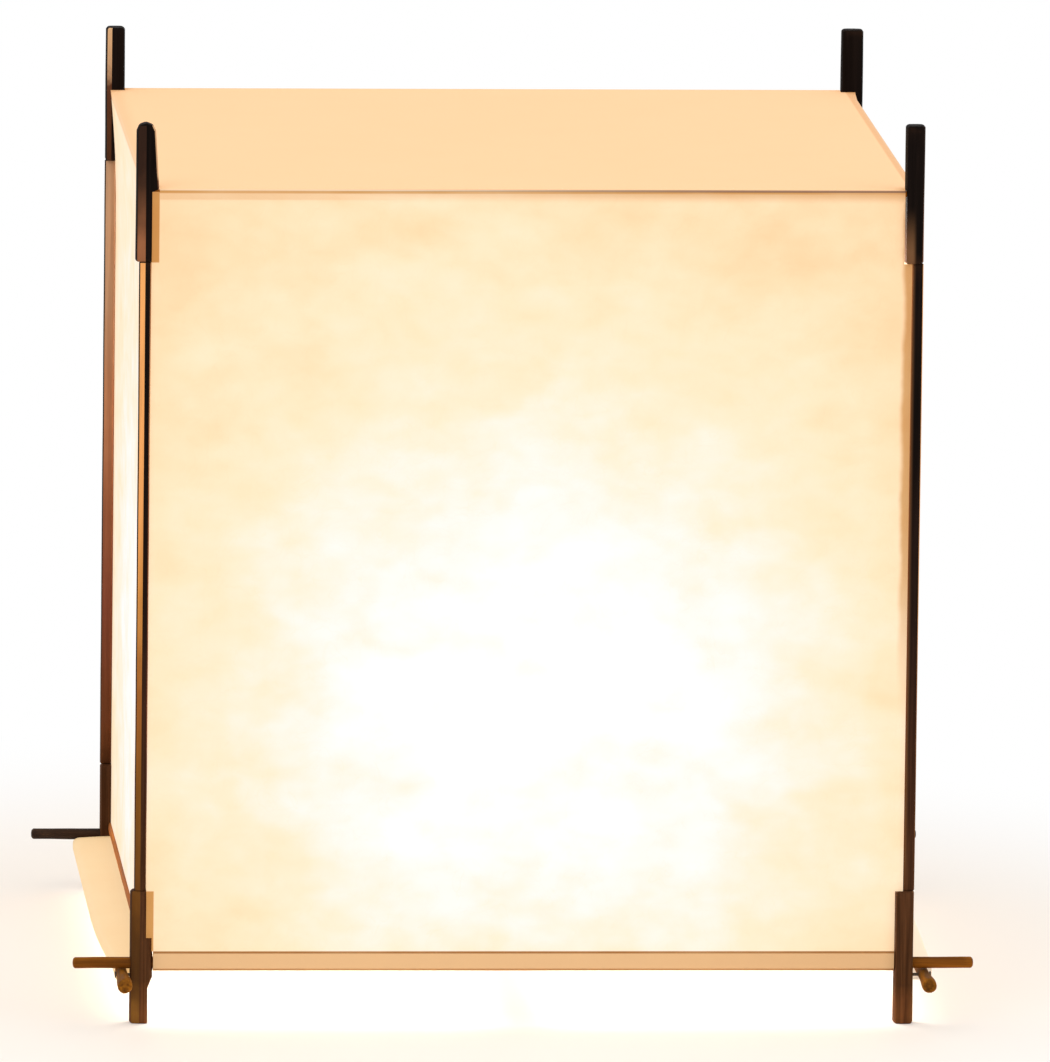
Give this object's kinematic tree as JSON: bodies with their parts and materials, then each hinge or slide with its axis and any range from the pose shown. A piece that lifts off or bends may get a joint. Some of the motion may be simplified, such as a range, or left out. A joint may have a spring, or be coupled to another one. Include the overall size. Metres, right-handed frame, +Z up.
{
  "type": "andon floor lamp",
  "caption": "Cube floor lamp of translucent paper on slender corner posts, with round sticks through its hems and a screw bulb inside.",
  "frame": {"origin": "on the floor under the middle of the lamp", "axes": "+Z up, front faces -Y, cross sticks along X"},
  "size_m": [0.48, 0.469, 0.471],
  "materials": {
    "dark_wood": "dark stained softwood, satin",
    "stick_wood": "brown stained round stick, satin",
    "rail_wood": "brown stained lath, satin",
    "shade_paper": "cloudy translucent washi, lit from inside",
    "steel": "plain steel",
    "holder_plastic": "black moulded phenolic",
    "contact_ceramic": "white porcelain",
    "brass": "plain brass",
    "bulb_metal": "plain aluminium",
    "bulb_black_glass": "black vitreous insulator",
    "bulb_glass": "frosted glass",
    "filament": "coated light stick"
  },
  "bodies": {
    "lamp": {"front_left_post": "dark_wood", "front_left_foot": "dark_wood", "front_left_top_block": "dark_wood", "front_right_post": "dark_wood", "front_right_foot": "dark_wood", "front_right_top_block": "dark_wood", "back_right_post": "dark_wood", "back_right_foot": "dark_wood", "back_right_top_block": "dark_wood", "back_left_post": "dark_wood", "back_left_foot": "dark_wood", "back_left_top_block": "dark_wood", "front_cross_stick": "stick_wood", "back_cross_stick": "stick_wood", "left_side_stick": "stick_wood", "right_side_stick": "stick_wood", "front_top_rod": "stick_wood", "back_top_rod": "stick_wood", "left_rail": "rail_wood", "right_rail": "rail_wood", "front_top_back_paper": "shade_paper", "left_paper": "shade_paper", "right_paper": "shade_paper", "stick_pins": "steel", "crossbar": "dark_wood", "crossbar_screws": "steel", "threaded_nipple": "steel", "nipple_nut": "steel", "lampholder_cap": "holder_plastic", "lampholder_shell": "holder_plastic", "contact_plate": "contact_ceramic", "screw_sleeve": "brass", "centre_contact": "brass"},
    "bulb": {"bulb_tip_contact": "bulb_metal", "bulb_screw_cap": "bulb_metal", "bulb_insulator": "bulb_black_glass", "bulb_glass": "bulb_glass", "filament_stem": "bulb_glass", "filaments": "filament"}
  },
  "joints": [
    {"name": "bulb_turn", "type": "hinge", "parent": "lamp", "child": "bulb", "pos_m": [0, 0, 0.085], "axis": [0, 0, 1], "continuous": true}
  ]
}
